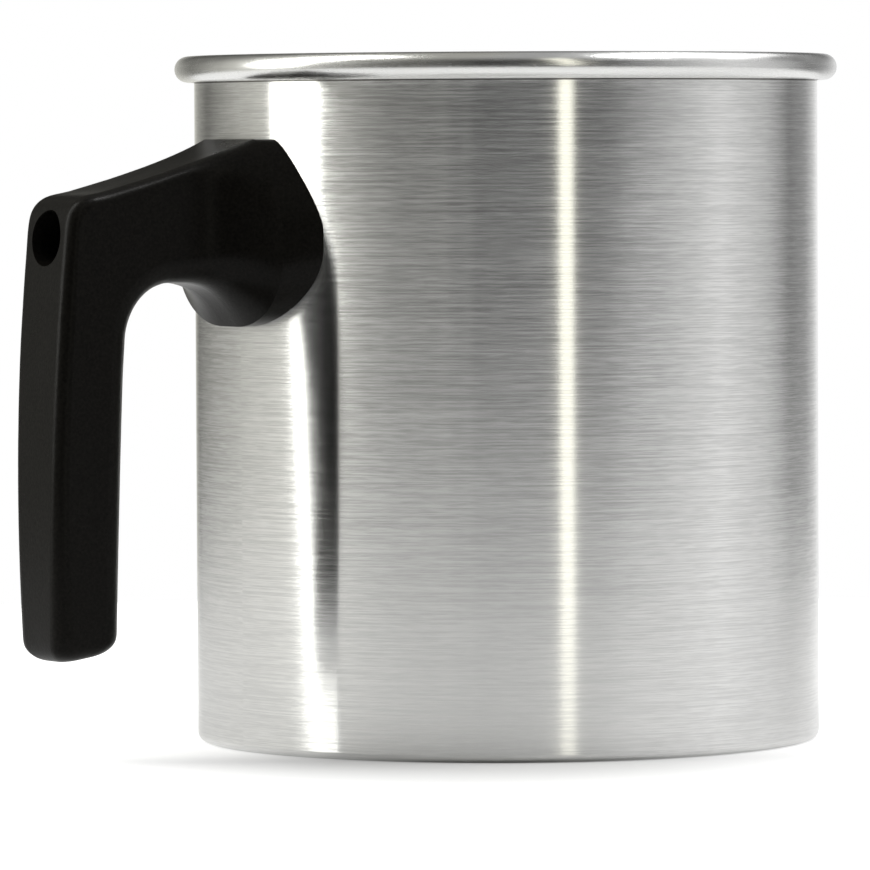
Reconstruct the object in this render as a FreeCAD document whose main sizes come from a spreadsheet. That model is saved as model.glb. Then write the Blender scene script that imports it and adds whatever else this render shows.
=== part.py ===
"""Double-walled wax melting pot: jacketed aluminium pot whose moulded handle holds the water inlet.

Frame: millimetres, +Z up, origin on the pot's axis at the plane it stands on, handle towards -X.
Radial places on the handle side are given as a reach, the distance from the pot's axis along -X.
"""
import FreeCAD
import Part
import Sketcher
import math
import os

Vector = FreeCAD.Vector

# Driving dimensions: name, value in millimetres, meaning
SIZES = (
    ("body_radius", 70.0, "outside radius of the outer shell"),
    ("shell_wall", 1.2, "sheet thickness of the outer shell"),
    ("base_round", 3.0, "outside corner radius between wall and base"),
    ("rim_height", 153.6, "overall height to the top of the rolled rim"),
    ("rim_roll_radius", 2.9, "outside radius of the rolled rim's section"),
    ("rim_flat", 1.1, "flat width on top of the roll, between its two rounds"),
    ("pot_wall", 1.2, "sheet thickness of the inner pot"),
    ("seam_gap", 0.1, "clearance between the neck of the inner pot and the outer shell"),
    ("lip_gap", 0.05, "clearance between the rolled lip and the outer shell"),
    ("seal_clearance", 0.3, "how much thinner the rim seal is than the hollow of the roll"),
    ("neck_depth", 12.0, "straight neck under the rim"),
    ("shoulder_height", 12.0, "height of the curved shoulder under the neck"),
    ("jacket_gap", 7.0, "water space between the walls"),
    ("floor_gap", 8.0, "water space under the inner floor"),
    ("pot_corner", 10.0, "inside corner radius of the inner pot"),
    ("port_drop", 39.8, "distance of the inlet axis below the top of the rim"),
    ("port_radius", 6.1, "radius of the filling port in the handle"),
    ("bush_radius", 6.0, "outside radius of the inlet bush"),
    ("bush_length", 13.0, "length of the inlet bush over its flange"),
    ("flange_radius", 10.0, "radius of the bush flange in the water space"),
    ("flange_thickness", 2.0, "thickness of the bush flange"),
    ("gasket_thickness", 1.8, "thickness of the bush gasket on the axis"),
    ("thread_radius", 4.0, "outside radius of the clamp tube's thread"),
    ("thread_clearance", 0.05, "radial clearance in threads and press seats"),
    ("hole_clearance", 0.15, "radial clearance of plain holes"),
    ("saddle_width", 30.0, "width of the locating saddle"),
    ("saddle_height", 26.0, "height of the locating saddle"),
    ("saddle_thickness", 2.4, "thickness of the saddle on the axis"),
    ("saddle_corner", 4.0, "corner radius of the saddle"),
    ("nut_flats", 15.0, "size of the bush nut across flats"),
    ("nut_thickness", 3.0, "thickness of the bush nut"),
    ("clamp_depth", 27.0, "distance of the clamp washer's seat from the wall"),
    ("washer_thickness", 0.8, "thickness of the clamp washer"),
    ("head_radius", 5.6, "radius of the clamp tube's head"),
    ("head_height", 4.0, "height of the clamp tube's head"),
    ("socket_flats", 6.0, "hexagon socket across flats"),
    ("socket_depth", 2.5, "depth of the hexagon socket"),
    ("tube_bore", 2.4, "radius of the water way through the clamp tube"),
    ("tube_setback", 1.0, "how far the clamp tube ends inside the bush's tail"),
    ("whistle_clearance", 0.08, "radial clearance of the whistle in its port"),
    ("whistle_gap", 0.3, "gap between the whistle and the clamp tube's head"),
    ("whistle_length", 8.0, "length of the whistle barrel"),
    ("whistle_bore", 4.0, "radius of the whistle's chamber seat"),
    ("whistle_web", 1.2, "thickness of the whistle's front web"),
    ("whistle_mouth", 3.0, "radius of the opening in the front web"),
    ("disc_thickness", 0.4, "thickness of each whistle disc"),
    ("disc_hole", 0.9, "radius of the hole in each whistle disc"),
    ("spacer_length", 3.2, "length of the ring between the discs"),
    ("spacer_wall", 0.9, "wall of the ring between the discs"),
    ("ring_radius", 0.6, "section radius of the sealing ring on the whistle"),
    ("ring_clearance", 0.04, "clearance under the sealing ring, in its groove"),
    ("ring_place", 3.6, "distance of the sealing ring from the whistle's tail"),
    ("grip_bar_width", 2.4, "width of the pull bar on the whistle"),
    ("grip_bar_height", 3.4, "height of the pull bar on the whistle"),
    ("wall_fit", 0.05, "clearance between the handle's foot and the wall"),
    ("foot_half_width", 22.2, "half width of the handle's foot, where its edge begins"),
    ("foot_above", 21.2, "top of the handle's foot, above the inlet axis"),
    ("foot_below", 19.9, "bottom of the handle's foot, below the inlet axis"),
    ("foot_edge", 2.8, "thickness of the foot's edge on the axis"),
    ("foot_spread", 9.0, "how far each side of the foot's edge spreads over its depth"),
    ("foot_depth", 17.5, "depth of the foot behind that edge, before the wall is cut out of it"),
    ("top_corner_across", 12.0, "extent of the foot's upper corners, sideways"),
    ("top_corner_along", 22.0, "extent of the foot's upper corners, downwards"),
    ("low_corner_across", 19.0, "extent of the foot's lower corners, sideways"),
    ("low_corner_along", 15.0, "extent of the foot's lower corners, upwards"),
    ("arm_half_width", 10.2, "half width of the arm"),
    ("arm_top_sag", 1.1, "hollow of the arm's top, under a straight line"),
    ("outer_round", 2.8, "edge radius along the arm's top and the grip's outer face"),
    ("inner_round", 5.0, "edge radius along the underside and the grip's inner face"),
    ("outer_corner_above", 8.2, "where arm top and outer face would meet, above the inlet axis"),
    ("corner_round", 4.2, "radius between arm top and outer face"),
    ("arch_distance", 21.5, "distance of the middle of the finger arch from the wall"),
    ("arch_below", 23.3, "where the finger arch begins, below the inlet axis"),
    ("arch_rise", 13.3, "rise of the finger arch"),
    ("grip_outer_distance", 52.3, "greatest distance of the grip's outer face from the wall"),
    ("grip_bulge_below", 63.8, "place of the greatest distance, below the inlet axis"),
    ("grip_bulge_radius", 620.0, "radius of the outer face, seen from the side"),
    ("grip_inner_distance", 33.5, "distance of the grip's inner face from the wall, at the arch"),
    ("grip_inner_taper", 1.8, "how much farther out the inner face is at the grip's end"),
    ("grip_below", 91.7, "lowest point of the grip, below the inlet axis"),
    ("grip_end_rise", 1.3, "how much higher the grip ends on its inner side"),
    ("grip_end_half_width", 9.2, "half width of the grip at its lower end"),
    ("grip_end_round", 4.6, "rounding of the grip's lower end"),
    ("grip_end_edge", 3.8, "edge radius of the outer face at the grip's lower end"),
)

doc = FreeCAD.newDocument("wax_melting_pot")
sheet = doc.addObject("Spreadsheet::Sheet", "sizes")
for row, (alias, number, meaning) in enumerate(SIZES, start=1):
    sheet.set("A%d" % row, meaning)
    sheet.set("B%d" % row, str(number))
    sheet.setAlias("B%d" % row, alias)
doc.recompute()


class Size:
    """A length with its value in millimetres and the sheet expression that gives it."""

    def __init__(self, value, text):
        self.value = float(value)
        self.text = text

    def join(self, sign, other, value):
        return Size(value, "(%s %s %s)" % (self.text, sign, other.text))

    def __add__(self, other):
        other = as_size(other)
        return self.join("+", other, self.value + other.value)

    def __sub__(self, other):
        other = as_size(other)
        return self.join("-", other, self.value - other.value)

    def __mul__(self, other):
        other = as_size(other)
        return self.join("*", other, self.value * other.value)

    def __truediv__(self, other):
        other = as_size(other)
        return self.join("/", other, self.value / other.value)

    def __neg__(self):
        return as_size(0) - self


def as_size(number):
    return number if isinstance(number, Size) else Size(number, repr(float(number)))


def size(alias):
    return Size(getattr(sheet, alias), "sizes." + alias)


def mm(alias):
    """The plain value of a driving dimension."""
    return float(getattr(sheet, alias))


ZERO = as_size(0)


# ---------------------------------------------------------------- helpers

def bind(feature, **lengths):
    """Bind properties such as Radius or Height to sheet expressions."""
    for name, length in lengths.items():
        feature.setExpression(name, as_size(length).text)


def place(feature, x=ZERO, z=ZERO, outward=False):
    """Put a piece at (x, 0, z). With outward, its own +Z turns to face -X, away from the pot."""
    turn = FreeCAD.Rotation(Vector(0, 1, 0), -90) if outward else FreeCAD.Rotation()
    x, z = as_size(x), as_size(z)
    feature.Placement = FreeCAD.Placement(Vector(x.value, 0, z.value), turn)
    bind(feature, **{"Placement.Base.x": x, "Placement.Base.z": z})
    return feature


def cylinder(name, radius, height, x=ZERO, z=ZERO, outward=False):
    rod = doc.addObject("Part::Cylinder", name)
    bind(rod, Radius=radius, Height=height)
    return place(rod, x, z, outward)


def cut(name, base, tool):
    result = doc.addObject("Part::Cut", name)
    result.Base = base
    result.Tool = tool
    return result


def common(name, base, tool):
    result = doc.addObject("Part::Common", name)
    result.Base = base
    result.Tool = tool
    return result


def fuse(name, base, tool):
    result = doc.addObject("Part::Fuse", name)
    result.Base = base
    result.Tool = tool
    return result


def new_body(label):
    body = doc.addObject("PartDesign::Body", label)
    body.Label = label
    return body


def origin_plane(body, role):
    return [plane for plane in body.Origin.OriginFeatures if plane.Role == role][0]


def arc_centre(start, end, radius, left):
    """Centre of the arc from start to end whose centre lies on the left or on the right."""
    chord = end - start
    middle = (start + end) * 0.5
    rise = math.sqrt(max(radius ** 2 - (chord.Length / 2) ** 2, 0))
    side = Vector(-chord.y, chord.x, 0).normalize()
    return middle + side * (rise if left else -rise)


def closed_outline(body, name, role, corners):
    """Sketch a closed outline on an origin plane.

    Each corner is (x, y), reached by a line, or (x, y, radius, left), reached by an arc.
    Every corner and radius is bound to the sheet.
    """
    sketch = body.newObject("Sketcher::SketchObject", name)
    sketch.AttachmentSupport = [(origin_plane(body, role), "")]
    sketch.MapMode = "FlatFace"
    corners = [tuple(as_size(item) for item in corner[:3]) + tuple(corner[3:]) for corner in corners]
    points = [Vector(corner[0].value, corner[1].value, 0) for corner in corners]
    first_end = {}
    last_end = {}
    for index, corner in enumerate(corners):
        start, end = points[index - 1], points[index]
        if len(corner) == 2:
            edge = sketch.addGeometry(Part.LineSegment(start, end))
            first_end[index], last_end[index] = (edge, 1), (edge, 2)
            continue
        radius, left = corner[2], corner[3]
        centre = arc_centre(start, end, radius.value, left)
        circle = Part.Circle(centre, Vector(0, 0, 1), radius.value)
        begin, finish = (start, end) if left else (end, start)
        angles = [math.atan2(p.y - centre.y, p.x - centre.x) for p in (begin, finish)]
        edge = sketch.addGeometry(Part.ArcOfCircle(circle, angles[0], angles[1]))
        first_end[index], last_end[index] = ((edge, 1), (edge, 2)) if left else ((edge, 2), (edge, 1))
    for index, corner in enumerate(corners):
        next_start = first_end[(index + 1) % len(corners)]
        sketch.addConstraint(Sketcher.Constraint("Coincident", *last_end[index], *next_start))
        for axis, length in (("X", corner[0]), ("Y", corner[1])):
            if length.text == ZERO.text:
                along = -2 if axis == "X" else -1
                sketch.addConstraint(Sketcher.Constraint("PointOnObject", *last_end[index], along))
                continue
            made = sketch.addConstraint(Sketcher.Constraint(
                "Distance" + axis, -1, 1, *last_end[index], length.value))
            sketch.setExpression("Constraints[%d]" % made, length.text)
        if len(corner) > 2:
            made = sketch.addConstraint(Sketcher.Constraint(
                "Radius", last_end[index][0], corner[2].value))
            sketch.setExpression("Constraints[%d]" % made, corner[2].text)
    return sketch


def turned(label, corners):
    """A body turned about its own Z axis from a half outline in (radius, height)."""
    body = new_body(label)
    sketch = closed_outline(body, label + "_outline", "XZ_Plane", corners)
    lathe = body.newObject("PartDesign::Revolution", label + "_turning")
    lathe.Profile = sketch
    lathe.ReferenceAxis = (sketch, ["V_Axis"])
    lathe.Angle = 360
    doc.recompute()
    return body


def washer(label, outer, inner, thickness):
    """A flat ring standing on its own Z = 0."""
    return turned(label, [(inner, ZERO), (outer, ZERO), (outer, thickness), (inner, thickness)])


# ---------------------------------------------------------------- pot and shell

body_radius = size("body_radius")
shell_wall = size("shell_wall")
base_round = size("base_round")
pot_wall = size("pot_wall")
roll = size("rim_roll_radius")
roll_hollow = roll - pot_wall
rim_height = size("rim_height")
roll_height = rim_height - roll
shell_inside = body_radius - shell_wall
neck_outside = shell_inside - size("seam_gap")
neck_inside = neck_outside - pot_wall
pot_outside = shell_inside - size("jacket_gap")
pot_inside = pot_outside - pot_wall
port_height = rim_height - size("port_drop")


def make_outer_shell():
    """Drawn cup of the jacket. Its edge stands inside the rolled rim."""
    shell = turned("outer_shell_cup", [
        (ZERO, ZERO),
        (body_radius - base_round, ZERO),
        (body_radius, base_round, base_round, True),
        (body_radius, roll_height),
        (shell_inside, roll_height),
        (shell_inside, base_round),
        (body_radius - base_round, shell_wall, base_round - shell_wall, False),
        (ZERO, shell_wall),
    ])
    hole = cylinder("shell_inlet_hole", size("bush_radius") + size("hole_clearance"), body_radius,
                    x=ZERO - body_radius / 2, z=port_height, outward=True)
    return cut("outer_shell", shell, hole)


def make_inner_pot():
    """Drawn pot with a shoulder, a neck that fits the shell and a rim rolled over the shell's edge."""
    step = neck_inside - pot_inside
    shoulder_height = size("shoulder_height")
    bend = (step * step / 4 + shoulder_height * shoulder_height / 4) / step
    neck_end = rim_height - size("neck_depth")
    shoulder_end = neck_end - shoulder_height
    lean = (bend * 2 - step) / (bend * 2)
    drop = shoulder_height / (bend * 2)
    upper_centre = neck_inside - bend
    outer_bend = bend + pot_wall
    middle_in = (upper_centre + bend * lean, neck_end - bend * drop)
    middle_out = (upper_centre + outer_bend * lean, neck_end - outer_bend * drop)
    floor_outside = shell_wall + size("floor_gap")
    floor_inside = floor_outside + pot_wall
    corner = size("pot_corner")
    outer_corner = corner + pot_wall
    left = neck_inside + roll
    right = left + size("rim_flat")
    lip_end = body_radius + size("lip_gap")
    return turned("inner_pot", [
        (ZERO, floor_outside),
        (pot_inside - corner, floor_outside),
        (pot_outside, floor_inside + corner, outer_corner, True),
        (pot_outside, shoulder_end),
        (middle_out[0], middle_out[1], bend - pot_wall, False),
        (neck_outside, neck_end, outer_bend, True),
        (neck_outside, roll_height),
        (left, roll_height + roll_hollow, roll_hollow, False),
        (right, roll_height + roll_hollow),
        (right + roll_hollow, roll_height, roll_hollow, False),
        (right, roll_height - roll_hollow, roll_hollow, False),
        (lip_end, roll_height - roll_hollow),
        (lip_end, roll_height - roll),
        (right, roll_height - roll),
        (right + roll, roll_height, roll, True),
        (right, rim_height, roll, True),
        (left, rim_height),
        (neck_inside, roll_height, roll, True),
        (neck_inside, neck_end),
        (middle_in[0], middle_in[1], bend, False),
        (pot_inside, shoulder_end, bend, True),
        (pot_inside, floor_inside + corner),
        (pot_inside - corner, floor_inside, corner, False),
        (ZERO, floor_inside),
    ])


def make_rim_seal():
    """Sealing ring in the hollow of the rolled rim, outside the shell's edge."""
    section = roll_hollow - size("seal_clearance")
    seal = doc.addObject("Part::Torus", "rim_seal")
    bind(seal, Radius1=body_radius + section + size("lip_gap"), Radius2=section)
    return place(seal, z=roll_height)


# ---------------------------------------------------------------- inlet

gasket_face = shell_inside - size("gasket_thickness")
bush_tail = gasket_face - size("flange_thickness")
saddle_face = body_radius + size("saddle_thickness")
bush_radius = size("bush_radius")
thread_radius = size("thread_radius")
thread_clearance = size("thread_clearance")
hole_clearance = size("hole_clearance")
clamp_seat = body_radius + size("clamp_depth")
head_seat = clamp_seat + size("washer_thickness")


def make_inlet_bush():
    """Threaded bush through the wall, with its flange in the water space."""
    bore = thread_radius + thread_clearance
    flange = size("flange_thickness")
    bush = turned("inlet_bush", [
        (bore, ZERO),
        (size("flange_radius"), ZERO),
        (size("flange_radius"), flange),
        (bush_radius, flange),
        (bush_radius, size("bush_length")),
        (bore, size("bush_length")),
    ])
    return place(bush, x=-bush_tail, z=port_height, outward=True)


def make_bush_gasket():
    """Soft washer between the flange and the curved inside of the shell."""
    blank = cylinder("gasket_blank", size("flange_radius"), size("gasket_thickness") * 2,
                     x=-gasket_face, z=port_height, outward=True)
    inside = cylinder("gasket_wall", shell_inside, rim_height)
    bore = cylinder("gasket_bore", bush_radius + thread_clearance, body_radius,
                    x=ZERO - body_radius / 2, z=port_height, outward=True)
    return cut("bush_gasket", common("gasket_disc", blank, inside), bore)


def saddle_block(name, grow, face):
    """Rounded block round the inlet axis, grown by a clearance, ending at the reach of face."""
    width = size("saddle_width") + grow * 2
    height = size("saddle_height") + grow * 2
    block = doc.addObject("Part::Box", name + "_block")
    bind(block, Length=face - body_radius / 2, Width=width, Height=height)
    bind(block, **{"Placement.Base.x": ZERO - face, "Placement.Base.y": ZERO - width / 2,
                   "Placement.Base.z": port_height - height / 2})
    doc.recompute()
    rounded = doc.addObject("Part::Fillet", name)
    rounded.Base = block
    corner = (size("saddle_corner") + grow).value
    along_x = [index for index, edge in enumerate(block.Shape.Edges, start=1)
               if abs(edge.tangentAt(edge.FirstParameter).x) > 0.99]
    rounded.Edges = [(index, corner, corner) for index in along_x]
    return rounded


def make_locating_saddle():
    """Cast pad on the wall that stops the handle from turning and gives the nut a flat seat."""
    block = saddle_block("saddle_blank", ZERO, saddle_face)
    wall = cylinder("saddle_wall", body_radius, rim_height)
    bore = cylinder("saddle_bore", bush_radius + hole_clearance, body_radius,
                    x=ZERO - body_radius / 2, z=port_height, outward=True)
    return cut("locating_saddle", cut("saddle_curved", block, wall), bore)


def make_bush_nut():
    """Thin hexagon nut that clamps bush, gasket, wall and saddle together."""
    nut = doc.addObject("Part::Prism", "nut_blank")
    nut.Polygon = 6
    bind(nut, Circumradius=size("nut_flats") / math.sqrt(3), Height=size("nut_thickness"))
    place(nut, x=-saddle_face, z=port_height, outward=True)
    bore = cylinder("nut_bore", bush_radius + thread_clearance, body_radius,
                    x=ZERO - body_radius / 2, z=port_height, outward=True)
    return cut("bush_nut", nut, bore)


def make_clamp_washer():
    """Fibre washer under the head of the clamp tube."""
    ring = washer("clamp_washer", size("head_radius"), thread_radius + hole_clearance,
                  size("washer_thickness"))
    return place(ring, x=-clamp_seat, z=port_height, outward=True)


def make_clamp_tube():
    """Hollow screw that pulls the handle onto the wall and leads the water in."""
    bore = size("tube_bore")
    tube_length = head_seat - bush_tail - size("tube_setback")
    tube = turned("clamp_tube", [
        (bore, -tube_length),
        (thread_radius, -tube_length),
        (thread_radius, ZERO),
        (size("head_radius"), ZERO),
        (size("head_radius"), size("head_height")),
        (bore, size("head_height")),
    ])
    socket = tube.newObject("PartDesign::SubtractivePrism", "clamp_socket")
    socket.Polygon = 6
    bind(socket, Circumradius=size("socket_flats") / math.sqrt(3), Height=size("socket_depth"))
    bind(socket, **{"Placement.Base.z": size("head_height") - size("socket_depth")})
    return place(tube, x=-head_seat, z=port_height, outward=True)


# ---------------------------------------------------------------- whistle

whistle_tail = head_seat + size("head_height") + size("whistle_gap")
whistle_radius = size("port_radius") - size("whistle_clearance")
disc_seat = size("whistle_length") - size("whistle_web") - size("disc_thickness")
spacer_seat = disc_seat - size("spacer_length")
tail_seat = spacer_seat - size("disc_thickness")


def on_whistle(piece, along=ZERO):
    return place(piece, x=-(whistle_tail + along), z=port_height, outward=True)


def make_whistle_body():
    """Barrel of the whistle with a groove for its sealing ring and a bar to pull it by."""
    groove = size("ring_radius") + thread_clearance
    groove_floor = whistle_radius - size("ring_radius") * 2
    ring_place = size("ring_place")
    length = size("whistle_length")
    barrel = turned("whistle_body", [
        (size("whistle_bore"), ZERO),
        (whistle_radius, ZERO),
        (whistle_radius, ring_place - groove),
        (groove_floor, ring_place - groove),
        (groove_floor, ring_place + groove),
        (whistle_radius, ring_place + groove),
        (whistle_radius, length),
        (size("whistle_mouth"), length),
        (size("whistle_mouth"), length - size("whistle_web")),
        (size("whistle_bore"), length - size("whistle_web")),
    ])
    bar_length = (size("whistle_mouth") + size("whistle_web")) * 2
    bar = barrel.newObject("PartDesign::AdditiveBox", "whistle_pull_bar")
    bind(bar, Length=bar_length, Width=size("grip_bar_width"), Height=size("grip_bar_height"))
    bind(bar, **{"Placement.Base.x": ZERO - bar_length / 2,
                 "Placement.Base.y": ZERO - size("grip_bar_width") / 2,
                 "Placement.Base.z": length})
    return on_whistle(barrel)


def make_whistle_ring():
    """Sealing ring in the whistle's groove."""
    ring = doc.addObject("Part::Torus", "whistle_ring")
    section = size("ring_radius")
    bind(ring, Radius1=whistle_radius - section + size("ring_clearance"), Radius2=section)
    return on_whistle(ring, size("ring_place"))


def make_whistle_disc(label, seat):
    """Thin disc with a small hole, pressed into the barrel."""
    disc = washer(label, size("whistle_bore") - thread_clearance, size("disc_hole"),
                  size("disc_thickness"))
    return on_whistle(disc, seat)


def make_whistle_spacer():
    """Ring that keeps the two discs apart and forms the sounding chamber."""
    outside = size("whistle_bore") - thread_clearance
    ring = washer("whistle_spacer", outside, outside - size("spacer_wall"), size("spacer_length"))
    return on_whistle(ring, spacer_seat)


# ---------------------------------------------------------------- handle

# Lengths of a cubic curve's handles, as shares of the corner that it rounds
ROUND = 4 / 3 * (math.sqrt(2) - 1)  # follows a quarter circle
SLACK = 0.26  # cuts the corner off, nearly straight


def rounded_section(inner, outer, half_width, inner_corner, outer_corner):
    """Closed wire of a rounded rectangle that stands across the line from inner to outer.

    inner and outer are (reach, height). A corner is (across, along, fullness): how far its
    rounding goes along both sides, and its handle length. The wire always starts at the same
    place.
    """
    low, high = Vector(-inner[0], 0, inner[1]), Vector(-outer[0], 0, outer[1])
    along = high - low
    half_length = along.Length / 2
    along.normalize()
    middle = (low + high) * 0.5

    def point(up, side, end_inset, side_inset):
        return (middle + along * (up * (half_length - end_inset))
                + Vector(0, side * (half_width - side_inset), 0))

    edges = []
    last = None
    for up, side in ((1, 1), (-1, 1), (-1, -1), (1, -1)):
        corner = outer_corner if up > 0 else inner_corner
        tip = point(up, side, 0, 0)
        start = point(up, side, 0, min(corner[0], 0.96 * half_width))
        end = point(up, side, min(corner[1], 0.96 * half_length), 0)
        if up * side < 0:
            start, end = end, start
        if last is None:
            first = start
        else:
            edges.append(Part.LineSegment(last, start).toShape())
        curve = Part.BezierCurve()
        curve.setPoles([start, start + (tip - start) * corner[2], end + (tip - end) * corner[2],
                        end])
        edges.append(curve.toShape())
        last = end
    edges.append(Part.LineSegment(last, first).toShape())
    return Part.Wire(edges)


def blend(start, end, share):
    return start + (end - start) * share


def reach_of(distance):
    """Reach of a place of the handle that is named by its distance from the wall."""
    return mm("body_radius") + mm(distance)


def above_inlet(rise):
    """Height of a place that is named by its rise above the inlet axis."""
    return port_height.value + mm(rise)


def below_inlet(drop):
    """Height of a place that is named by its drop below the inlet axis."""
    return port_height.value - mm(drop)


def outer_face_reach(height):
    """Reach of the grip's outer face, a long arc seen from the side."""
    rise = height - below_inlet("grip_bulge_below")
    radius = mm("grip_bulge_radius")
    return reach_of("grip_outer_distance") - (radius - math.sqrt(radius ** 2 - rise ** 2))


def arm_top(reach):
    """Height of the arm's top, a shallow hollow curve that falls from the foot to the outer corner."""
    corner_reach = outer_face_reach(above_inlet("outer_corner_above"))
    share = (reach - reach_of("foot_edge")) / (corner_reach - reach_of("foot_edge"))
    straight = blend(above_inlet("foot_above"), above_inlet("outer_corner_above"), share)
    return straight - mm("arm_top_sag") * 4 * share * (1 - share)


def beyond_outline(reach, height):
    """Distance outside the arm's top and the outer face, which meet in a round corner."""
    over_top = height - arm_top(reach)
    over_face = reach - outer_face_reach(height)
    radius = mm("corner_round")
    if min(over_top, over_face) > -radius:
        return math.hypot(over_top + radius, over_face + radius) - radius
    return max(over_top, over_face)


def outer_point(angle):
    """Where a ray from the middle of the finger arch leaves the outer outline."""
    inside, outside = 0.0, reach_of("grip_outer_distance")
    for _ in range(40):
        distance = (inside + outside) / 2
        reach = reach_of("arch_distance") + distance * math.cos(angle)
        height = below_inlet("arch_below") + distance * math.sin(angle)
        if beyond_outline(reach, height) > 0:
            outside = distance
        else:
            inside = distance
    return (reach, height)


def arch_point(angle):
    """Point of the finger arch, a quarter ellipse between the arm's underside and the grip."""
    run = reach_of("grip_inner_distance") - reach_of("arch_distance")
    return (reach_of("arch_distance") + run * math.cos(angle),
            below_inlet("arch_below") + mm("arch_rise") * math.sin(angle))


def blend_all(start, end, share):
    return tuple(blend(first, second, share) for first, second in zip(start, end))


def foot_corners(spread=0.0):
    """Lower and upper corners of the foot's outline. The lower ones grow as its edge spreads."""
    return ((mm("low_corner_across") + spread, mm("low_corner_along") + spread, ROUND),
            (mm("top_corner_across"), mm("top_corner_along"), SLACK))


def edge_rounds(outer="outer_round"):
    """Corners of the arm and of the grip: the inner side, then the outer side."""
    return (mm("inner_round"), mm("inner_round"), ROUND), (mm(outer), mm(outer), ROUND)


def foot_sections():
    """The foot behind the flare. Its edge spreads towards the wall."""
    sections = []
    for share in (1, 0):
        reach = reach_of("foot_edge") - share * mm("foot_depth")
        spread = share * mm("foot_spread")
        sections.append(((reach, below_inlet("foot_below")), (reach, above_inlet("foot_above")),
                         mm("foot_half_width") + spread, *foot_corners(spread)))
    return sections


def arm_sections():
    """Sections from the foot along the arm. The foot is rounder and wider than the arm."""
    arch_top = below_inlet("arch_below") + mm("arch_rise")
    inner_round, outer_round = edge_rounds()
    low_corner, top_corner = foot_corners()
    sections = []
    for share in (0.0, 0.1, 0.22, 0.36, 0.52, 0.7, 0.86):
        reach = blend(reach_of("foot_edge"), reach_of("arch_distance"), share)
        left = 1 - share
        low = blend(arch_top, below_inlet("foot_below"), left ** 3.2)
        half_width = blend(mm("arm_half_width"), mm("foot_half_width"), left ** 2.5)
        sections.append(((reach, low), (reach, arm_top(reach)), half_width,
                         blend_all(inner_round, low_corner, left ** 2),
                         blend_all(outer_round, top_corner, left ** 2.5)))
    return sections


def corner_sections():
    """Sections that swing round the finger arch."""
    sections = []
    for degrees in (90, 78, 68, 60, 54, 49, 44, 38, 30, 20, 10):
        angle = math.radians(degrees)
        sections.append((arch_point(angle), outer_point(angle), mm("arm_half_width"),
                         *edge_rounds()))
    return sections


def grip_sections():
    """Sections down the grip and round its lower end, which rises towards the pot."""
    top = below_inlet("arch_below")
    end_round = mm("grip_end_round")
    outer_end = below_inlet("grip_below") + end_round
    inner_end = outer_end + mm("grip_end_rise")
    inner_round, outer_round = edge_rounds()
    end_inner, end_outer = edge_rounds("grip_end_edge")
    sections = []
    for share in (0.0, 0.08, 0.18, 0.32, 0.47, 0.62, 0.76, 0.86, 0.93, 0.97, 1.0):
        inner_reach = reach_of("grip_inner_distance") + mm("grip_inner_taper") * share ** 0.7
        outer_height = blend(top, outer_end, share)
        half_width = blend(mm("arm_half_width"), mm("grip_end_half_width"), share)
        sections.append(((inner_reach, blend(top, inner_end, share)),
                         (outer_face_reach(outer_height), outer_height), half_width,
                         inner_round, blend_all(outer_round, end_outer, share ** 2)))
    for degrees in (18, 36, 54, 72, 90):
        angle = math.radians(degrees)
        drop = end_round * math.sin(angle)
        inset = end_round * (1 - math.cos(angle))
        shrink = 1 - 0.2 * inset / end_round
        sections.append(((inner_reach + inset, inner_end - drop),
                         (outer_face_reach(outer_end) - inset, outer_end - drop),
                         half_width - inset, blend_all((0, 0, ROUND), end_inner, shrink),
                         blend_all((0, 0, ROUND), end_outer, shrink)))
    return sections


def handle_solid():
    """Closed skin of the handle before its bores: foot edge, swept arm and grip, two ends."""
    foot = [rounded_section(*section) for section in foot_sections()]
    sweep = [rounded_section(*section) for section in
             arm_sections() + corner_sections() + grip_sections()]
    faces = Part.makeLoft(foot, False, True).Faces + Part.makeLoft(sweep, False, False).Faces
    skin = Part.Shell(faces + [Part.Face(foot[0]), Part.Face(sweep[-1])])
    skin.sewShape()
    solid = Part.Solid(skin)
    if solid.Volume < 0:
        solid.reverse()
    return solid


def make_handle():
    """Moulded L-shaped handle: flared foot, arm with the inlet bore, and grip."""
    blank = doc.addObject("Part::Feature", "handle_blank")
    blank.Shape = handle_solid()
    wall = cylinder("handle_wall_cut", body_radius + size("wall_fit"), rim_height)
    pocket = saddle_block("handle_saddle_pocket", hole_clearance, saddle_face + hole_clearance)
    nut_end = saddle_face + size("nut_thickness") + hole_clearance * 2
    nut_room = cylinder("handle_nut_room", size("nut_flats") / math.sqrt(3) + hole_clearance * 2,
                        nut_end - body_radius / 2, x=ZERO - body_radius / 2, z=port_height,
                        outward=True)
    bush_end = bush_tail + size("bush_length") + hole_clearance * 2
    bush_bore = cylinder("handle_bush_bore", bush_radius + hole_clearance,
                         bush_end - body_radius / 2, x=ZERO - body_radius / 2, z=port_height,
                         outward=True)
    tube_bore = cylinder("handle_tube_bore", thread_radius + hole_clearance,
                         clamp_seat, x=ZERO - body_radius / 2, z=port_height, outward=True)
    port = cylinder("handle_port", size("port_radius"), body_radius,
                    x=-clamp_seat, z=port_height, outward=True)
    tools = wall
    for name, tool in (("pocket", pocket), ("nut_room", nut_room), ("bush_bore", bush_bore),
                       ("tube_bore", tube_bore), ("port", port)):
        tools = fuse("handle_with_" + name, tools, tool)
    return cut("handle", blank, tools)


# ---------------------------------------------------------------- assembly and export

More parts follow.
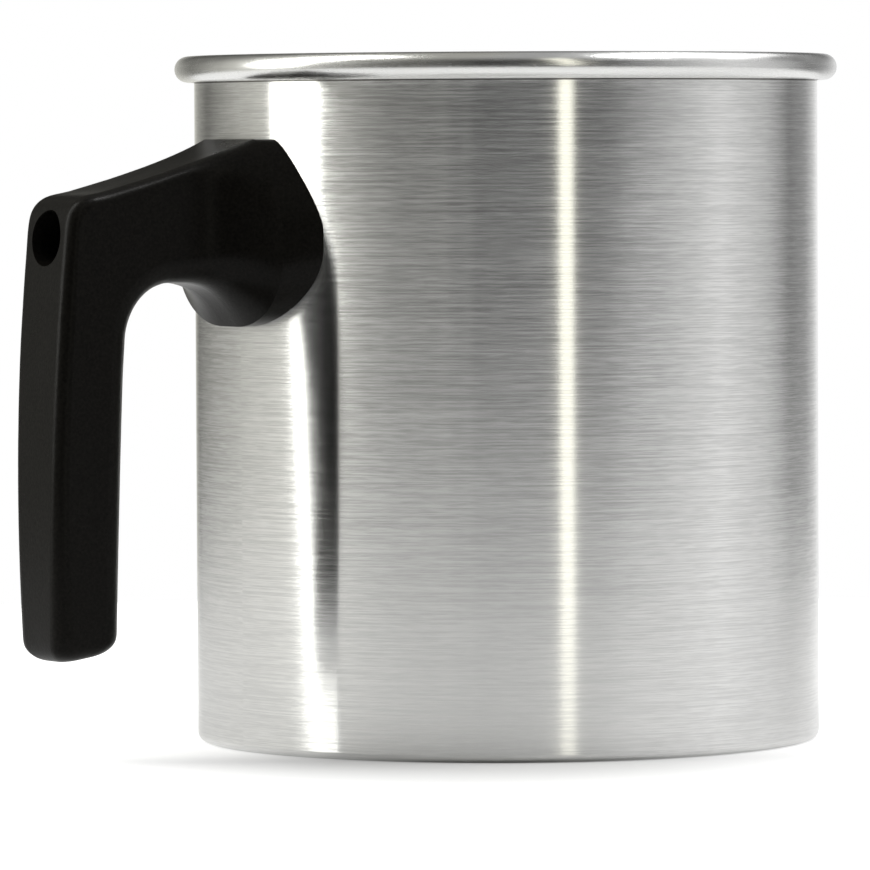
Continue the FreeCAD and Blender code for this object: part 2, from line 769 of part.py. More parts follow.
SUB_PARTS = (
    make_outer_shell(),
    make_inner_pot(),
    make_rim_seal(),
    make_inlet_bush(),
    make_bush_gasket(),
    make_locating_saddle(),
    make_bush_nut(),
    make_handle(),
    make_clamp_washer(),
    make_clamp_tube(),
    make_whistle_body(),
    make_whistle_ring(),
    make_whistle_disc("whistle_front_disc", disc_seat),
    make_whistle_spacer(),
    make_whistle_disc("whistle_rear_disc", tail_seat),
)
doc.recompute()

for feature in doc.Objects:
    if "Invalid" in feature.State or "Error" in feature.State:
        raise RuntimeError("%s failed: %s" % (feature.Label, feature.State))
os.makedirs("parts", exist_ok=True)
for part in SUB_PARTS:
    shape = part.Shape
    if shape.isNull() or not shape.isValid() or len(shape.Solids) != 1:
        raise RuntimeError("%s has no sound shape" % part.Label)
for part in SUB_PARTS:
    part.Shape.exportStep("parts/%s.step" % part.Label)
    print("%-20s volume %10.1f mm3" % (part.Label, part.Shape.Volume))
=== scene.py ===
"""Looks of a double-walled wax melting pot: brushed shell, spun inner pot and moulded handle.

Lengths are in metres. The pot's axis is Z, it stands on Z = 0 and its handle points towards -X.
"""
import math

import bmesh
import bpy
from mathutils import Matrix, Vector


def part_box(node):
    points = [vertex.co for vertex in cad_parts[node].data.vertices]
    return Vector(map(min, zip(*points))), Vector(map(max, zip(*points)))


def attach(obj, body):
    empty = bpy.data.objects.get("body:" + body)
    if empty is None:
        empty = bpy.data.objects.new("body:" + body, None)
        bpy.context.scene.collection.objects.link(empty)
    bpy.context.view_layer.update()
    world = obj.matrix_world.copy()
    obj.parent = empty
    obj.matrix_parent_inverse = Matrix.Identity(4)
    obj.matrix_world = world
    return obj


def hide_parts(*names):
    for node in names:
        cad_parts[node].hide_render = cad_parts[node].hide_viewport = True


bl_info = {
    "name": "Wax Melting Pot",
    "version": (1, 0, 0),
    "blender": (4, 5, 0),
    "location": "3D View > Sidebar > Wax Pot",
    "description": "Builds the visible pieces, finishes and studio of a jacketed wax melting pot",
    "category": "Object",
}

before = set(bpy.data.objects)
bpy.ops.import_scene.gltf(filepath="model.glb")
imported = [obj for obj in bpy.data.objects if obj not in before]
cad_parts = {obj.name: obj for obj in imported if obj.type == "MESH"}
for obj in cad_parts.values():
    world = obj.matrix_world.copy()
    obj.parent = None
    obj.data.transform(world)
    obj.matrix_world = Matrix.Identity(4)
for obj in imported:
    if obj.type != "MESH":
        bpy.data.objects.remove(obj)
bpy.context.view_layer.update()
SHELL_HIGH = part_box("outer_shell")[1]
POT_LOW, POT_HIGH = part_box("inner_pot")
MM = 0.001
TURN = 2 * math.pi
SHARP_ANGLE = math.radians(35)

INLET_HOLE_RADIUS = 6.15 * MM
INLET_HOLE_SEGMENTS = 64
HOLE_BAND = 16 * MM
SEAM_GAP = 0.1 * MM
JACKET_GAP = 7 * MM
NECK_HEIGHT = 12 * MM
SHOULDER_HEIGHT = 12 * MM
FLOOR_CORNER = 10 * MM
RIM_FLAT = 1.1 * MM
LIP_GAP = 0.35 * MM

# Rows of brush lines: how much the radius counts against the height, and how far apart two
# neighbouring rows lie in the noise.
RADIUS_SHARE = 1.7
ROW_STEP = 3.71
NOISE_SPAN = (0.3, 0.7)  # holds most of a noise's values

# Painted shade just under the rim's lip: its start under the lip, fade, strength and colour.
JOINT_DROP = 0.45 * MM
LIP_SHADE_FADE = 0.3 * MM
LIP_SHADE_SHARE = 0.85
LIP_SHADE_COLOUR = (0.07, 0.06, 0.05)

# The wall beside the handle's foot: its lean, the angles over which it comes and goes, how far
# its inner edge moves out with the height, and what is left of it above the foot.
PRESSED_LEAN = math.radians(9)
PRESSED_RISE = math.radians(18)
PRESSED_FALL = (math.radians(20), math.radians(32))
PRESSED_SPREAD = 0.6
PRESSED_TOP = (104 * MM, 126 * MM)
PRESSED_REST = 0.3

LENS_LENGTH = 297.2
LENS_SENSOR = 36
LENS_SHIFT = (-0.0815, -0.023)
LENS_CLIP = (0.05, 60)
CAMERA_TILT = 0.0374
CAMERA_ROLL = 0.0046

LAMP_AIM = (0, 0, 0.08)
# Name, bearing from the camera in degrees, distance, width, height, level, strength, colour.
LAMPS = (("left_strip", -86, 1.2, 0.57, 2.0, 0.9, 5.0, (1, 1, 0.96)),
         ("narrow_strip", 21.6, 1.9, 0.2, 2.4, 0.9, 1.9, (1, 0.98, 0.84)),
         ("spot", 92, 0.58, 0.5, 0.25, 1.3, 20.0, (1, 1, 1)),
         ("overhead", 125, 1.0, 1.4, 0.6, 1.2, 1.2, (1, 1, 1)))
# Bearing from the camera in degrees, brightness.
ROOM_PANELS = ((-180, 0.85), (-160, 0.42), (-142, 0.16), (-115, 0.48), (-100, 0.6), (-65, 0.32),
               (-42, 0.12), (-25, 0.1), (-23, 0.16), (-21, 0.08), (-16, 0.06), (-14, 0.12),
               (-12, 0.03), (10, 0.05), (38, 0.08), (62, 0.42), (86, 0.74), (112, 0.52),
               (129, 0.2), (145, 0.32), (165, 0.8), (180, 1.0))

TABLE_DROP = 0.02 * MM
# The painted shadow's middle: how far from the axis, and how far turned from the camera's bearing.
SHADOW_OFFSET = 60 * MM
SHADOW_TURN = math.radians(4)
# Painted shadow on the table: distance from its middle, then glow, each from and to.
TABLE_SEEN = (0.02, 0.1, 0.2, 0.78)
TABLE_MIRRORED = (0.0, 0.08, 0.0, 0.44)


# ---------------------------------------------------------------- properties

class WaxPotSizes(bpy.types.PropertyGroup):
    body_radius: bpy.props.FloatProperty(
        name="Body Radius", description="Outside radius of the outer shell",
        default=SHELL_HIGH.x, unit="LENGTH")
    rim_height: bpy.props.FloatProperty(
        name="Rim Height", description="Height of the top of the rolled rim",
        default=POT_HIGH.z, unit="LENGTH")
    wall: bpy.props.FloatProperty(
        name="Sheet", description="Sheet thickness of both walls", default=1.2 * MM, unit="LENGTH")
    base_round: bpy.props.FloatProperty(
        name="Base Round", description="Outside radius between wall and base",
        default=1.8 * MM, unit="LENGTH")
    roll_radius: bpy.props.FloatProperty(
        name="Roll Radius", description="Outside radius of the rolled rim's section",
        default=2.9 * MM, unit="LENGTH")
    segments: bpy.props.IntProperty(
        name="Segments", description="Steps round the turned pieces", default=288, min=48)


class WaxPotFinishes(bpy.types.PropertyGroup):
    aluminium: bpy.props.FloatVectorProperty(
        name="Aluminium", description="Colour of the bare aluminium", subtype="COLOR",
        default=(0.83, 0.83, 0.82))
    brush_grain: bpy.props.FloatProperty(
        name="Brush Grain", description="Spacing of the finest brush lines",
        default=0.19 * MM, unit="LENGTH")
    phenolic: bpy.props.FloatVectorProperty(
        name="Phenolic", description="Colour of the moulded handle", subtype="COLOR",
        default=(0.0072, 0.0066, 0.0056))
    rubber: bpy.props.FloatVectorProperty(
        name="Rubber", description="Colour of the sealing rings", subtype="COLOR",
        default=(0.02, 0.02, 0.02))
    brass: bpy.props.FloatVectorProperty(
        name="Brass", description="Colour of the inlet's turned pieces", subtype="COLOR",
        default=(0.72, 0.55, 0.26))
    fibre: bpy.props.FloatVectorProperty(
        name="Fibre", description="Colour of the clamp washer", subtype="COLOR",
        default=(0.33, 0.12, 0.08))


class WaxPotStudio(bpy.types.PropertyGroup):
    bearing: bpy.props.FloatProperty(
        name="Camera Bearing", description="Direction of the camera from the pot, from +X",
        default=math.radians(-123.4), subtype="ANGLE")
    distance: bpy.props.FloatProperty(
        name="Camera Distance", description="Distance of the camera from the pot's axis",
        default=1.6171, unit="LENGTH")
    height: bpy.props.FloatProperty(
        name="Camera Height", description="Height of the camera", default=0.1332, unit="LENGTH")
    ceiling: bpy.props.FloatProperty(
        name="Ceiling", description="Brightness of the room straight above the pot", default=0.4)
    table_radius: bpy.props.FloatProperty(
        name="Table Radius", description="Radius of the white round table", default=0.5,
        unit="LENGTH")


# ---------------------------------------------------------------- node helpers

def add_node(tree, kind, **values):
    """Adds a node. Values name its settings or, where a setting has no such name, its inputs."""
    node = tree.nodes.new(kind)
    for name, value in values.items():
        if hasattr(node, name):
            setattr(node, name, value)
        else:
            node.inputs[name.replace("_", " ")].default_value = value
    return node


def math_node(tree, operation, first, second=None):
    node = tree.nodes.new("ShaderNodeMath")
    node.operation = operation
    for socket, value in zip(node.inputs, (first, second)):
        if isinstance(value, bpy.types.NodeSocket):
            tree.links.new(value, socket)
        elif value is not None:
            socket.default_value = value
    return node.outputs[0]


def object_place(tree):
    """Coordinates in the piece's own frame."""
    return add_node(tree, "ShaderNodeTexCoord").outputs["Object"]


def split_vector(tree, vector):
    """The three parts of a vector."""
    split = add_node(tree, "ShaderNodeSeparateXYZ")
    tree.links.new(vector, split.inputs[0])
    return split.outputs


def map_range(tree, value, low, high, to_low, to_high, smooth=False):
    node = add_node(tree, "ShaderNodeMapRange", From_Min=low, From_Max=high, To_Min=to_low,
                    To_Max=to_high)
    if smooth:
        node.interpolation_type = "SMOOTHSTEP"
    tree.links.new(value, node.inputs["Value"])
    return node.outputs["Result"]


def mix_colour(tree, share, dark, light):
    """Blends two colours. The first one may be a socket."""
    node = add_node(tree, "ShaderNodeMix", data_type="RGBA")
    tree.links.new(share, node.inputs["Factor"])
    if isinstance(dark, bpy.types.NodeSocket):
        tree.links.new(dark, node.inputs["A"])
    else:
        node.inputs["A"].default_value = (*dark, 1)
    node.inputs["B"].default_value = (*light, 1)
    return node.outputs["Result"]


def shade(colour, factor):
    return tuple(min(channel * factor, 1) for channel in colour)


def new_material(name):
    material = bpy.data.materials.new(name)
    material.use_nodes = True
    tree = material.node_tree
    return material, tree, tree.nodes["Principled BSDF"]


def noise(tree, vector, scale, detail=2.0, roughness=0.5):
    node = add_node(tree, "ShaderNodeTexNoise", Scale=scale, Detail=detail, Roughness=roughness)
    tree.links.new(vector, node.inputs["Vector"])
    return node.outputs["Fac"]


def vary_roughness(tree, shader, share, low, high):
    """Roughness between low and high that follows a noise."""
    tree.links.new(map_range(tree, share, *NOISE_SPAN, low, high), shader.inputs["Roughness"])


def add_bump(tree, shader, height, strength, distance, normal=None):
    bump = add_node(tree, "ShaderNodeBump", Strength=strength, Distance=distance)
    tree.links.new(height, bump.inputs["Height"])
    if normal is not None:
        tree.links.new(normal, bump.inputs["Normal"])
    tree.links.new(bump.outputs["Normal"], shader.inputs["Normal"])


def lathe_coordinates(tree, along, across, rows=True):
    """Coordinates round the axis: the bearing, then height and radius as one, in separate rows.

    A line is 1 / along long, in radians, and across wide. Without rows the lines run together.
    """
    x, y, z = split_vector(tree, object_place(tree))
    radius = math_node(tree, "SQRT", math_node(tree, "ADD", math_node(tree, "MULTIPLY", x, x),
                                               math_node(tree, "MULTIPLY", y, y)))
    join = add_node(tree, "ShaderNodeCombineXYZ")
    bearing = math_node(tree, "ARCTAN2", y, x)
    tree.links.new(math_node(tree, "MULTIPLY", bearing, along), join.inputs[0])
    level = math_node(tree, "ADD", z, math_node(tree, "MULTIPLY", radius, RADIUS_SHARE))
    row = math_node(tree, "MULTIPLY", level, 1 / across)
    if rows:
        row = math_node(tree, "MULTIPLY", math_node(tree, "FLOOR", row), ROW_STEP)
    tree.links.new(row, join.inputs[1])
    return join.outputs[0]


def pressed_normal(tree, lean):
    """Normal of a wall that is a little flat under the handle's foot and on both sides of it.

    It leans towards the handle by up to the angle lean. It leans less above the foot, and not at
    all far from it.
    """
    x, y, z = split_vector(tree, object_place(tree))
    bearing = math_node(tree, "ARCTAN2", y, math_node(tree, "MULTIPLY", x, -1.0))
    away = math_node(tree, "ABSOLUTE", bearing)
    inner_edge = math_node(tree, "MULTIPLY", z, PRESSED_SPREAD)
    flat = math_node(tree, "MULTIPLY",
                     map_range(tree, math_node(tree, "SUBTRACT", away, inner_edge),
                               0.0, PRESSED_RISE, 0.0, lean),
                     map_range(tree, away, *PRESSED_FALL, 1.0, 0.0, True))
    below = math_node(tree, "MULTIPLY",
                      map_range(tree, z, *PRESSED_TOP, 1.0, PRESSED_REST, True),
                      math_node(tree, "SIGN", bearing))
    turned = add_node(tree, "ShaderNodeVectorRotate", rotation_type="Z_AXIS")
    normal = add_node(tree, "ShaderNodeNewGeometry").outputs["Normal"]
    tree.links.new(normal, turned.inputs["Vector"])
    tree.links.new(math_node(tree, "MULTIPLY", flat, below), turned.inputs["Angle"])
    return turned.outputs[0]


# ---------------------------------------------------------------- finishes

def brushed_aluminium(name, finishes, roughness, anisotropy, contrast, joint=None, lean=None):
    """Bare aluminium brushed or spun round the axis: fine lines, long and short, stretched gloss.

    A joint is the height under the rim above which the wall gets a painted shade from the lip.
    A lean is how far the wall beside the handle turns towards it, where the foot pressed it flat.
    """
    material, tree, shader = new_material(name)
    grain = finishes.brush_grain
    fine = noise(tree, lathe_coordinates(tree, 3.2, grain), 1.0, 0.0)
    scratches = noise(tree, lathe_coordinates(tree, 14.0, grain * 1.4), 1.0, 1.0)
    broad = noise(tree, lathe_coordinates(tree, 1.6, grain * 8, False), 1.0, 1.0)
    lines = math_node(tree, "ADD", math_node(tree, "MULTIPLY", fine, 0.5),
                      math_node(tree, "MULTIPLY", broad, 0.08))
    lines = math_node(tree, "ADD", lines, math_node(tree, "MULTIPLY", scratches, 0.42))
    share = map_range(tree, lines, 0.38, 0.62, 0.0, 1.0)
    colour = tuple(finishes.aluminium)
    brushed = mix_colour(tree, share, shade(colour, 1 - contrast), shade(colour, 1 + contrast / 2))
    if joint is not None:
        # Painted shade: the wall darkens just under the rim's lip, where the lip shades it.
        level = split_vector(tree, object_place(tree))[2]
        lip_shade = map_range(tree, level, joint, joint + LIP_SHADE_FADE, 0.0, LIP_SHADE_SHARE, True)
        brushed = mix_colour(tree, lip_shade, brushed, LIP_SHADE_COLOUR)
    tree.links.new(brushed, shader.inputs["Base Color"])
    vary_roughness(tree, shader, lines, roughness * 0.85, roughness * 1.15)
    shader.inputs["Metallic"].default_value = 1.0
    shader.inputs["Anisotropic"].default_value = anisotropy
    shader.inputs["Anisotropic Rotation"].default_value = 0.25
    tangent = add_node(tree, "ShaderNodeTangent", direction_type="RADIAL", axis="Z")
    tree.links.new(tangent.outputs[0], shader.inputs["Tangent"])
    normal = None if lean is None else pressed_normal(tree, lean)
    add_bump(tree, shader, fine, 0.05, 0.01 * MM, normal)
    return material


def moulded_phenolic(name, colour, roughness):
    """Satin black moulding with a very fine skin grain and slight cloudiness."""
    material, tree, shader = new_material(name)
    place = object_place(tree)
    grain = noise(tree, place, 1500.0, 3.0, 0.6)
    cloud = noise(tree, place, 90.0, 3.0)
    tree.links.new(mix_colour(tree, map_range(tree, grain, *NOISE_SPAN, 0.0, 1.0),
                              shade(colour, 0.6), shade(colour, 1.5)), shader.inputs["Base Color"])
    vary_roughness(tree, shader, cloud, roughness * 0.9, roughness * 1.1)
    shader.inputs["Specular IOR Level"].default_value = 0.075
    add_bump(tree, shader, grain, 0.6, 0.05 * MM)
    return material


def matte_rubber(name, colour):
    material, tree, shader = new_material(name)
    place = object_place(tree)
    grain = noise(tree, place, 3000.0)
    tree.links.new(mix_colour(tree, grain, shade(colour, 0.7), shade(colour, 1.4)),
                   shader.inputs["Base Color"])
    vary_roughness(tree, shader, grain, 0.72, 0.88)
    add_bump(tree, shader, grain, 0.1, 0.02 * MM)
    return material


def turned_metal(name, colour, roughness):
    """Machined brass or cast metal: fine speckle, a little wear in its gloss."""
    material, tree, shader = new_material(name)
    place = object_place(tree)
    speckle = noise(tree, place, 1800.0, 3.0)
    stain = noise(tree, place, 160.0, 3.0)
    tree.links.new(mix_colour(tree, stain, shade(colour, 0.75), shade(colour, 1.1)),
                   shader.inputs["Base Color"])
    vary_roughness(tree, shader, speckle, roughness * 0.8, roughness * 1.2)
    shader.inputs["Metallic"].default_value = 1.0
    add_bump(tree, shader, speckle, 0.06, 0.02 * MM)
    return material


def pressed_fibre(name, colour):
    material, tree, shader = new_material(name)
    place = object_place(tree)
    strands = noise(tree, place, 1400.0, 5.0, 0.7)
    tree.links.new(mix_colour(tree, strands, shade(colour, 0.6), shade(colour, 1.4)),
                   shader.inputs["Base Color"])
    vary_roughness(tree, shader, strands, 0.7, 0.9)
    add_bump(tree, shader, strands, 0.2, 0.05 * MM)
    return material


def paint_node(node_name, material):
    """Gives a carried-over solid its finish."""
    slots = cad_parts[node_name].data.materials
    slots.clear()
    slots.append(material)


# ---------------------------------------------------------------- mesh helpers

def arc(centre, radius, start, end, steps):
    """Points of an arc in a half outline of (radius, height), angles in degrees."""
    points = []
    for step in range(steps + 1):
        angle = math.radians(start + (end - start) * step / steps)
        points.append((centre[0] + radius * math.cos(angle), centre[1] + radius * math.sin(angle)))
    return points


def turned_mesh(name, outline, segments):
    """Closed ring of quads from a half outline, turned round Z. Points on the axis become one."""
    build = bmesh.new()
    rings = []
    for radius, height in outline:
        if radius < 1e-7:
            rings.append([build.verts.new((0, 0, height))] * segments)
            continue
        rings.append([build.verts.new((radius * math.cos(TURN * k / segments),
                                       radius * math.sin(TURN * k / segments), height))
                      for k in range(segments)])
    for index, ring in enumerate(rings):
        following = rings[(index + 1) % len(rings)]
        if ring[0] is ring[1] and following[0] is following[1]:
            continue
        for k in range(segments):
            corners = []
            for vertex in (ring[k], ring[(k + 1) % segments], following[(k + 1) % segments],
                           following[k]):
                if vertex not in corners:
                    corners.append(vertex)
            build.faces.new(corners)
    bmesh.ops.recalc_face_normals(build, faces=build.faces)
    mesh = bpy.data.meshes.new(name)
    build.to_mesh(mesh)
    build.free()
    mesh.shade_smooth()
    mesh.set_sharp_from_angle(angle=SHARP_ANGLE)
    piece = bpy.data.objects.new(name, mesh)
    bpy.context.scene.collection.objects.link(piece)
    return piece


def cut_away(piece, tool):
    """Cuts the tool's volume out of the piece and removes the tool."""
    modifier = piece.modifiers.new("cut", "BOOLEAN")
    modifier.operation = "DIFFERENCE"
    modifier.solver = "EXACT"
    modifier.object = tool
    bpy.context.view_layer.update()
    evaluated = piece.evaluated_get(bpy.context.evaluated_depsgraph_get())
    mesh = bpy.data.meshes.new_from_object(evaluated)
    piece.modifiers.clear()
    piece.data = mesh
    bpy.data.objects.remove(tool)


def outward_rod(radius, reach_from, reach_to, height, segments):
    """A rod along -X, as a tool."""
    length = reach_to - reach_from
    rod = turned_mesh("rod", [(0, 0), (radius, 0), (radius, length), (0, length)], segments)
    rod.data.transform(Matrix.Translation((-reach_from, 0, height))
                       @ Matrix.Rotation(-math.pi / 2, 4, "Y"))
    return rod


def dress(piece, material, body, slot, *nodes):
    """Finishes a new piece, lets it ride on its body and stand for its solids."""
    piece.data.materials.clear()
    piece.data.materials.append(material)
    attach(piece, body)
    if nodes:
        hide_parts(*nodes)


# ---------------------------------------------------------------- operators

class WAXPOT_OT_outer_shell(bpy.types.Operator):
    """Build the brushed outer shell with its inlet hole"""
    bl_idname = "waxpot.outer_shell"
    bl_label = "Outer Shell"

    def execute(self, context):
        sizes = context.scene.wax_pot_sizes
        radius, wall, rounding = sizes.body_radius, sizes.wall, sizes.base_round
        edge = sizes.rim_height - sizes.roll_radius
        inner = rounding - wall
        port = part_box("inlet_bush")
        height = (port[0].z + port[1].z) / 2
        # The band keeps the faces that the hole touches short.
        band = (height - HOLE_BAND, height + HOLE_BAND)
        outline = [(0, 0)]
        outline += arc((radius - rounding, rounding), rounding, -90, 0, 14)
        outline += [(radius, level) for level in (*band, edge)]
        outline += [(radius - wall, level) for level in (edge, *band[::-1])]
        outline += arc((radius - rounding, rounding), inner, 0, -90, 10)
        outline += [(0, wall)]
        shell = turned_mesh("brushed_shell", outline, sizes.segments)
        cut_away(shell, outward_rod(INLET_HOLE_RADIUS, radius / 2, radius * 1.5, height,
                                    INLET_HOLE_SEGMENTS))
        joint = sizes.rim_height - 2 * sizes.roll_radius - JOINT_DROP
        aluminium = brushed_aluminium("Brushed Aluminium", context.scene.wax_pot_finishes,
                                      0.225, 1.0, 0.13, joint, PRESSED_LEAN)
        dress(shell, aluminium, "pot", "brushed_aluminium", "outer_shell")
        return {"FINISHED"}


class WAXPOT_OT_inner_pot(bpy.types.Operator):
    """Build the spun inner pot with its shoulder, neck and rolled rim"""
    bl_idname = "waxpot.inner_pot"
    bl_label = "Inner Pot"

    def execute(self, context):
        sizes = context.scene.wax_pot_sizes
        wall, roll = sizes.wall, sizes.roll_radius
        neck_out = sizes.body_radius - wall - SEAM_GAP
        neck_in = neck_out - wall
        pot_in = sizes.body_radius - wall - JACKET_GAP - wall
        corner = FLOOR_CORNER
        floor = POT_LOW.z
        roll_height = sizes.rim_height - roll
        neck_end = sizes.rim_height - NECK_HEIGHT
        shoulder_end = neck_end - SHOULDER_HEIGHT
        # The shoulder is two arcs of the same bend that meet halfway.
        step = neck_in - pot_in
        bend = (step ** 2 / 4 + SHOULDER_HEIGHT ** 2 / 4) / step
        turn = math.degrees(math.asin(SHOULDER_HEIGHT / (2 * bend)))
        upper, lower = (neck_in - bend, neck_end), (pot_in + bend, shoulder_end)
        left, right = neck_in + roll, neck_in + roll + RIM_FLAT
        hollow = roll - wall
        corner_low = (pot_in - corner, floor + wall + corner)
        outline = [(0, floor)]
        outline += arc(corner_low, corner + wall, -90, 0, 12)
        outline += arc(lower, bend - wall, 180, 180 - turn, 10)[0:-1]
        outline += arc(upper, bend + wall, -turn, 0, 10)
        outline += arc((left, roll_height), hollow, 180, 90, 8)
        outline += arc((right, roll_height), hollow, 90, -90, 14)
        lip = sizes.body_radius + LIP_GAP
        outline += [(lip, roll_height - hollow), (lip, roll_height - roll)]
        outline += arc((right, roll_height), roll, -90, 90, 28)
        outline += arc((left, roll_height), roll, 90, 180, 14)
        outline += arc(upper, bend, 0, -turn, 10)[0:-1]
        outline += arc(lower, bend, 180 - turn, 180, 10)
        outline += arc(corner_low, corner, 0, -90, 12)
        outline += [(0, floor + wall)]
        pot = turned_mesh("spun_pot", outline, sizes.segments)
        aluminium = brushed_aluminium("Spun Aluminium", context.scene.wax_pot_finishes,
                                      0.26, 0.65, 0.06)
        dress(pot, aluminium, "pot", "spun_aluminium", "inner_pot")
        return {"FINISHED"}


class WAXPOT_OT_handle(bpy.types.Operator):
    """Finish the moulded handle"""
    bl_idname = "waxpot.handle"
    bl_label = "Handle"

    def execute(self, context):
        colour = tuple(context.scene.wax_pot_finishes.phenolic)
        paint_node("handle", moulded_phenolic("Black Phenolic", colour, 0.3))
        return {"FINISHED"}


class WAXPOT_OT_inlet(bpy.types.Operator):
    """Finish the inlet bush, nut, clamp tube, saddle and washer"""
    bl_idname = "waxpot.inlet"
    bl_label = "Inlet"

    def execute(self, context):
        finishes = context.scene.wax_pot_finishes
        brass = turned_metal("Turned Brass", tuple(finishes.brass), 0.3)
        for name in ("inlet_bush", "bush_nut", "clamp_tube"):
            paint_node(name, brass)
        cast = turned_metal("Cast Aluminium", tuple(finishes.aluminium), 0.5)
        paint_node("locating_saddle", cast)
        paint_node("clamp_washer", pressed_fibre("Red Fibre", tuple(finishes.fibre)))
        return {"FINISHED"}


class WAXPOT_OT_seals(bpy.types.Operator):
    """Finish the rubber seals of rim, inlet and whistle"""
    bl_idname = "waxpot.seals"
    bl_label = "Seals"

    def execute(self, context):
        rubber = matte_rubber("Black Rubber", tuple(context.scene.wax_pot_finishes.rubber))
        for name in ("rim_seal", "bush_gasket", "whistle_ring"):
            paint_node(name, rubber)
        return {"FINISHED"}


class WAXPOT_OT_whistle(bpy.types.Operator):
    """Finish the whistle's barrel, discs and spacer"""
    bl_idname = "waxpot.whistle"
    bl_label = "Whistle"

    def execute(self, context):
        finishes = context.scene.wax_pot_finishes
        moulding = moulded_phenolic("Whistle Moulding", tuple(finishes.phenolic), 0.5)
        paint_node("whistle_body", moulding)
        sheet = turned_metal("Pressed Brass", tuple(finishes.brass), 0.25)
        for name in ("whistle_front_disc", "whistle_spacer", "whistle_rear_disc"):
            paint_node(name, sheet)
        return {"FINISHED"}


def softbox(name, bearing, distance, width, height, level, strength, colour):
    """A rectangular lamp that faces the pot's axis. Strength is its brightness, 1 being white."""
    lamp = bpy.data.lights.new(name, "AREA")
    lamp.shape = "RECTANGLE"
    lamp.size, lamp.size_y = width, height
    lamp.energy = strength * math.pi * width * height
    lamp.color = colour
    holder = bpy.data.objects.new(name, lamp)
    holder.visible_camera = False
    holder.location = (distance * math.cos(bearing), distance * math.sin(bearing), level)
    aim = Vector(LAMP_AIM) - holder.location
    holder.rotation_euler = aim.to_track_quat("-Z", "Y").to_euler()
    bpy.context.scene.collection.objects.link(holder)


class WAXPOT_OT_studio(bpy.types.Operator):
    """Set up the white floor, the room and the soft lamps"""
    bl_idname = "waxpot.studio"
    bl_label = "Studio"

    def execute(self, context):
        studio = context.scene.wax_pot_studio
        self.make_table(studio)
        self.make_room(studio)
        for name, degrees, *values in LAMPS:
            softbox(name, studio.bearing + math.radians(degrees), *values)
        context.scene.view_settings.view_transform = "Standard"
        return {"FINISHED"}

    def make_table(self, studio):
        """A white disc. It turns fully white towards its edge, where it meets the white room."""
        radius = studio.table_radius
        build = bmesh.new()
        bmesh.ops.create_circle(build, cap_ends=True, segments=128, radius=radius)
        mesh = bpy.data.meshes.new("studio_table")
        build.to_mesh(mesh)
        build.free()
        table = bpy.data.objects.new("studio_table", mesh)
        table.location.z = -TABLE_DROP
        bpy.context.scene.collection.objects.link(table)
        material, tree, shader = new_material("White Table")
        # Painted shadow: the table glows less round a point in front of the pot. There its
        # lamp-lit grey and real shadow show, also in the pot's reflections.
        reach = add_node(tree, "ShaderNodeVectorMath", operation="DISTANCE")
        tree.links.new(object_place(tree), reach.inputs[0])
        side = studio.bearing - SHADOW_TURN
        reach.inputs[1].default_value = (SHADOW_OFFSET * math.cos(side),
                                         SHADOW_OFFSET * math.sin(side), 0)
        shader.inputs["Base Color"].default_value = (0.5, 0.5, 0.5, 1)
        shader.inputs["Roughness"].default_value = 0.9
        shader.inputs["Specular IOR Level"].default_value = 0.0
        shader.inputs["Emission Color"].default_value = (1, 1, 1, 1)
        rays = tree.nodes.new("ShaderNodeLightPath")
        mirrored, seen = (
            math_node(tree, "MULTIPLY", rays.outputs[kind],
                      map_range(tree, reach.outputs["Value"], *span, True))
            for kind, span in (("Is Glossy Ray", TABLE_MIRRORED), ("Is Camera Ray", TABLE_SEEN)))
        glow_round_painted_shadow = math_node(tree, "MAXIMUM", mirrored, seen)
        tree.links.new(glow_round_painted_shadow, shader.inputs["Emission Strength"])
        mesh.materials.append(material)

    def make_room(self, studio):
        """The room is white to the eye. The pot sees panels and dark gaps, listed by bearing."""
        world = bpy.data.worlds.new("Room")
        bpy.context.scene.world = world
        world.use_nodes = True
        tree = world.node_tree
        turned = add_node(tree, "ShaderNodeVectorRotate", rotation_type="Z_AXIS")
        turned.inputs["Angle"].default_value = -studio.bearing
        tree.links.new(add_node(tree, "ShaderNodeTexCoord").outputs["Generated"],
                       turned.inputs["Vector"])
        x, y, z = split_vector(tree, turned.outputs[0])
        bearing = math_node(tree, "ARCTAN2", y, x)
        ramp = add_node(tree, "ShaderNodeValToRGB")
        tree.links.new(map_range(tree, bearing, -math.pi, math.pi, 0.0, 1.0), ramp.inputs[0])
        elements = ramp.color_ramp.elements
        for degrees, level in ROOM_PANELS[1:-1]:
            elements.new(degrees / 360 + 0.5)
        for element, (degrees, level) in zip(elements, ROOM_PANELS):
            element.color = (level, level, level, 1)
        away = math_node(tree, "ABSOLUTE", bearing)
        behind = math_node(tree, "MULTIPLY", map_range(tree, away, 2.4, 2.9, 0.0, 0.9),
                           map_range(tree, z, 0.06, 0.26, 0.0, 1.0, True))
        panels = math_node(tree, "MULTIPLY", ramp.outputs[0],
                           math_node(tree, "SUBTRACT", 1.0, behind))
        ceiling = tree.nodes.new("ShaderNodeMix")
        tree.links.new(map_range(tree, z, 0.6, 0.95, 0.0, 1.0, True), ceiling.inputs["Factor"])
        tree.links.new(panels, ceiling.inputs["A"])
        ceiling.inputs["B"].default_value = studio.ceiling
        rays = tree.nodes.new("ShaderNodeLightPath")
        strength = math_node(tree, "MAXIMUM", ceiling.outputs["Result"],
                             rays.outputs["Is Camera Ray"])
        background = tree.nodes["Background"]
        tree.links.new(strength, background.inputs["Strength"])
        warmth = math_node(tree, "MULTIPLY", map_range(tree, bearing, 0.1, -0.5, 0.0, 1.0),
                           rays.outputs["Is Glossy Ray"])
        tree.links.new(mix_colour(tree, warmth, (1, 1, 1), (1, 0.99, 0.91)),
                       background.inputs["Color"])


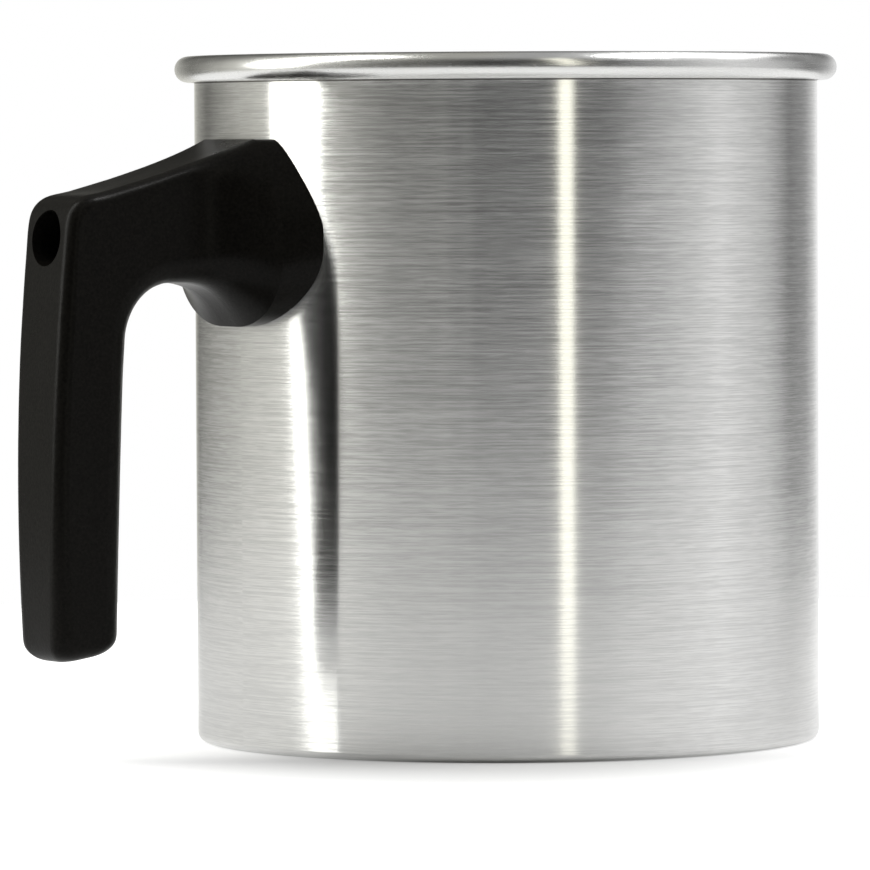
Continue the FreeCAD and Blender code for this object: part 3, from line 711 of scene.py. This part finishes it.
class WAXPOT_OT_camera(bpy.types.Operator):
    """Place the camera"""
    bl_idname = "waxpot.camera"
    bl_label = "Camera"

    def execute(self, context):
        studio = context.scene.wax_pot_studio
        lens = bpy.data.cameras.new("Camera")
        lens.sensor_width = LENS_SENSOR
        lens.lens = LENS_LENGTH
        lens.shift_x, lens.shift_y = LENS_SHIFT
        lens.clip_start, lens.clip_end = LENS_CLIP
        camera = bpy.data.objects.new("Camera", lens)
        camera.location = (studio.distance * math.cos(studio.bearing),
                           studio.distance * math.sin(studio.bearing), studio.height)
        camera.rotation_euler = (math.pi / 2 - CAMERA_TILT, CAMERA_ROLL,
                                 studio.bearing + math.pi / 2)
        context.scene.collection.objects.link(camera)
        context.scene.camera = camera
        return {"FINISHED"}


STEPS = (WAXPOT_OT_outer_shell, WAXPOT_OT_inner_pot, WAXPOT_OT_handle, WAXPOT_OT_inlet,
         WAXPOT_OT_seals, WAXPOT_OT_whistle, WAXPOT_OT_studio, WAXPOT_OT_camera)
GROUPS = (("wax_pot_sizes", WaxPotSizes), ("wax_pot_finishes", WaxPotFinishes),
          ("wax_pot_studio", WaxPotStudio))


class WAXPOT_PT_panel(bpy.types.Panel):
    """Sizes, finishes and build steps of the wax pot"""
    bl_label = "Wax Pot"
    bl_idname = "WAXPOT_PT_panel"
    bl_space_type = "VIEW_3D"
    bl_region_type = "UI"
    bl_category = "Wax Pot"

    def draw(self, context):
        for name, group in GROUPS:
            column = self.layout.column(align=True)
            for setting in group.__annotations__:
                column.prop(getattr(context.scene, name), setting)
        for step in STEPS:
            self.layout.operator(step.bl_idname)


def register():
    for name, group in GROUPS:
        bpy.utils.register_class(group)
        setattr(bpy.types.Scene, name, bpy.props.PointerProperty(type=group))
    for step in STEPS + (WAXPOT_PT_panel,):
        bpy.utils.register_class(step)


def unregister():
    for step in (WAXPOT_PT_panel,) + STEPS:
        bpy.utils.unregister_class(step)
    for name, group in GROUPS:
        delattr(bpy.types.Scene, name)
        bpy.utils.unregister_class(group)


def main():
    register()
    for step in STEPS:
        group, name = step.bl_idname.split(".")
        getattr(getattr(bpy.ops, group), name)()


if __name__ == "__main__":
    main()
